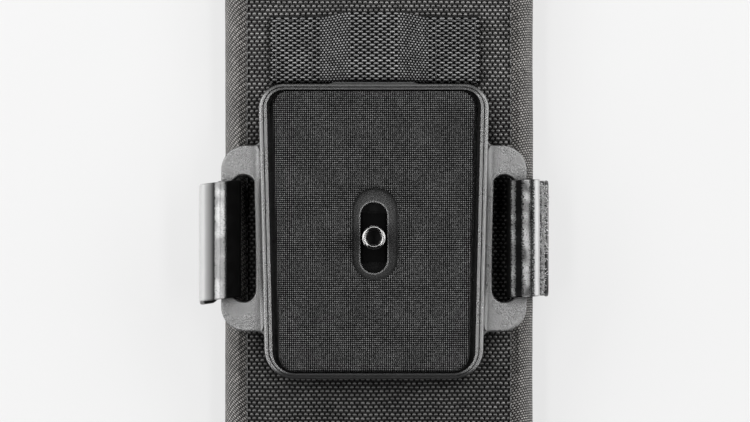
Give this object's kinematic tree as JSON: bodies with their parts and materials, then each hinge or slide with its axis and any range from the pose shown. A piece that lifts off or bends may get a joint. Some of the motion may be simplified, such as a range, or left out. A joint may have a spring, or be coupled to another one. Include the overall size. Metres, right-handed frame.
{
  "type": "strap-on camera plate",
  "caption": "Camera plate with a padded face and sliding quarter-inch screw, cinched by a hook-and-loop strap to a padded shoulder-strap section.",
  "frame": {"origin": "on the floor under the camera screw's rest position", "axes": "+Z out of the plate's face (up as it lies), +Y along the padded section towards the webbing loop, +X to the right seen from above"},
  "size_m": [0.0936, 0.16, 0.0317],
  "materials": {
    "foam": "closed-cell foam, matte",
    "ballistic_nylon": "coarse ballistic weave",
    "spacer_mesh": "open spacer mesh",
    "edge_binding": "ribbed binding tape",
    "thread": "bonded thread",
    "webbing": "ribbed webbing",
    "frame_plastic": "fine spark-eroded texture",
    "cover_plastic": "matte",
    "screw_steel": "black oxide",
    "pad_rubber": "matte rubber",
    "pad_cloth": "fine plain weave",
    "block_plastic": "matte acetal",
    "stud_steel": "bright turned steel",
    "clip_steel": "spring steel",
    "strap_nylon": "glossy coated nylon",
    "hook_pile": "moulded hooks",
    "loop_pile": "brushed loops"
  },
  "bodies": {
    "body": {"foam_core": "foam", "front_panel": "ballistic_nylon", "back_panel": "spacer_mesh", "side_wrap_left": "ballistic_nylon", "side_wrap_right": "ballistic_nylon", "end_cap_top": "edge_binding", "end_cap_bottom": "edge_binding", "panel_seams": "thread", "webbing_loop": "webbing", "loop_stitching": "thread", "mount_frame": "frame_plastic", "back_cover": "cover_plastic", "cover_screws": "screw_steel", "backing_pad": "pad_rubber", "face_rubber": "pad_rubber", "face_cloth": "pad_cloth", "strap_band": "strap_nylon", "strap_tab": "strap_nylon", "hook_tape": "hook_pile", "loop_tape": "loop_pile", "strap_stitching": "thread"},
    "carriage": {"slide_block": "block_plastic"},
    "screw": {"camera_screw": "stud_steel", "spring_washer": "clip_steel"},
    "tail": {"strap_tail": "strap_nylon", "tail_loop_tape": "loop_pile"}
  },
  "joints": [
    {"name": "screw_slide", "type": "slide", "parent": "body", "child": "carriage", "axis": [0, 1, 0], "range_m": [-0.0057, 0.0057]},
    {"name": "screw_spin", "type": "hinge", "parent": "carriage", "child": "screw", "pos_m": [0, 0, 0.0243], "axis": [0, 0, 1], "continuous": true},
    {"name": "tail_peel", "type": "hinge", "parent": "body", "child": "tail", "pos_m": [0.04695, -0.0003, 0.00635], "axis": [0, 1, 0], "range_deg": [0, 95]}
  ]
}
